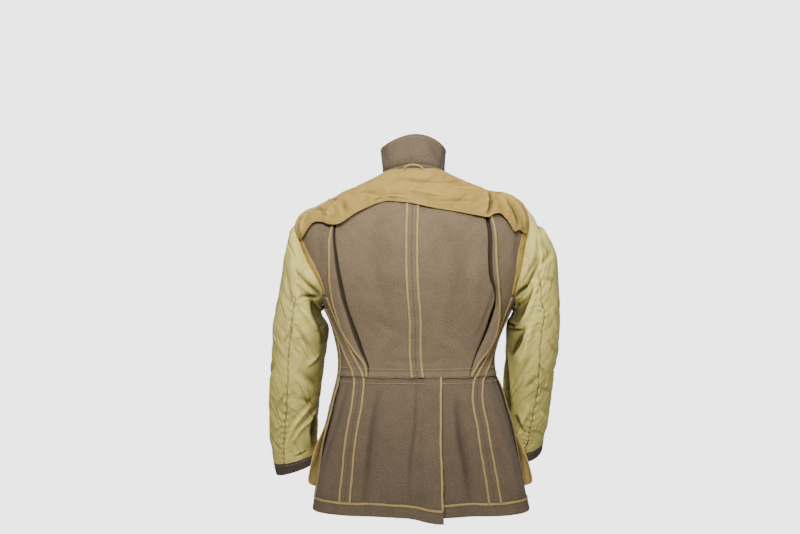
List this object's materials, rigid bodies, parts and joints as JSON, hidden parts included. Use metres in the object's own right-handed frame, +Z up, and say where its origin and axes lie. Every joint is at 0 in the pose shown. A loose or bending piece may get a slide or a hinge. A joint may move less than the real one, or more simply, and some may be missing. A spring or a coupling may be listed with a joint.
{
  "type": "military service jacket, turned inside out",
  "caption": "Wool service jacket shown inside out in its worn form: bound seams, loose shoulder lining, lined sleeves, turned-up collar, waist seam and vented skirt.",
  "frame": {"origin": "middle of the neck opening at the height of the collar seam, where the wearer's neck and shoulders hold the jacket", "axes": "+Z up, +Y the way the wearer faces, +X the wearer's right"},
  "size_m": [0.6442, 0.2975, 0.8213],
  "materials": {
    "wool": "matt",
    "collar_wool": "matt",
    "shoulder_cotton": "matt",
    "sleeve_sateen": "satin",
    "binding": "matt",
    "pocket_cotton": "matt",
    "button_horn": "satin"
  },
  "bodies": {
    "root": {"armhole_strip_left": "shoulder_cotton", "armhole_strip_right": "shoulder_cotton", "back_left": "wool", "back_right": "wool", "button_1": "button_horn", "button_2": "button_horn", "button_3": "button_horn", "button_4": "button_horn", "button_5": "button_horn", "centre_binding_left": "binding", "centre_binding_right": "binding", "collar_fall": "collar_wool", "collar_stand": "collar_wool", "cuff_left": "wool", "cuff_right": "wool", "front_left": "wool", "front_right": "wool", "hanger_loop": "binding", "hem_binding_left": "binding", "hem_binding_right": "binding", "pleat_binding_left": "binding", "pleat_binding_right": "binding", "pocket_bag_left": "pocket_cotton", "pocket_bag_right": "pocket_cotton", "side_back_binding_left_inner": "binding", "side_back_binding_left_outer": "binding", "side_back_binding_right_inner": "binding", "side_back_binding_right_outer": "binding", "side_back_left": "wool", "side_back_right": "wool", "side_back_skirt_binding_left_inner": "binding", "side_back_skirt_binding_left_outer": "binding", "side_back_skirt_binding_right_inner": "binding", "side_back_skirt_binding_right_outer": "binding", "side_binding_left_back": "binding", "side_binding_left_front": "binding", "side_binding_right_back": "binding", "side_binding_right_front": "binding", "side_left": "wool", "side_right": "wool", "side_skirt_binding_left": "binding", "side_skirt_binding_right": "binding", "skirt_back_left": "wool", "skirt_back_right": "wool", "skirt_side_left": "wool", "skirt_side_right": "wool", "sleeve_top_left": "sleeve_sateen", "sleeve_top_right": "sleeve_sateen", "sleeve_under_left": "sleeve_sateen", "sleeve_under_right": "sleeve_sateen", "vent_binding": "binding", "yoke_lining": "shoulder_cotton"}
  },
  "joints": []
}
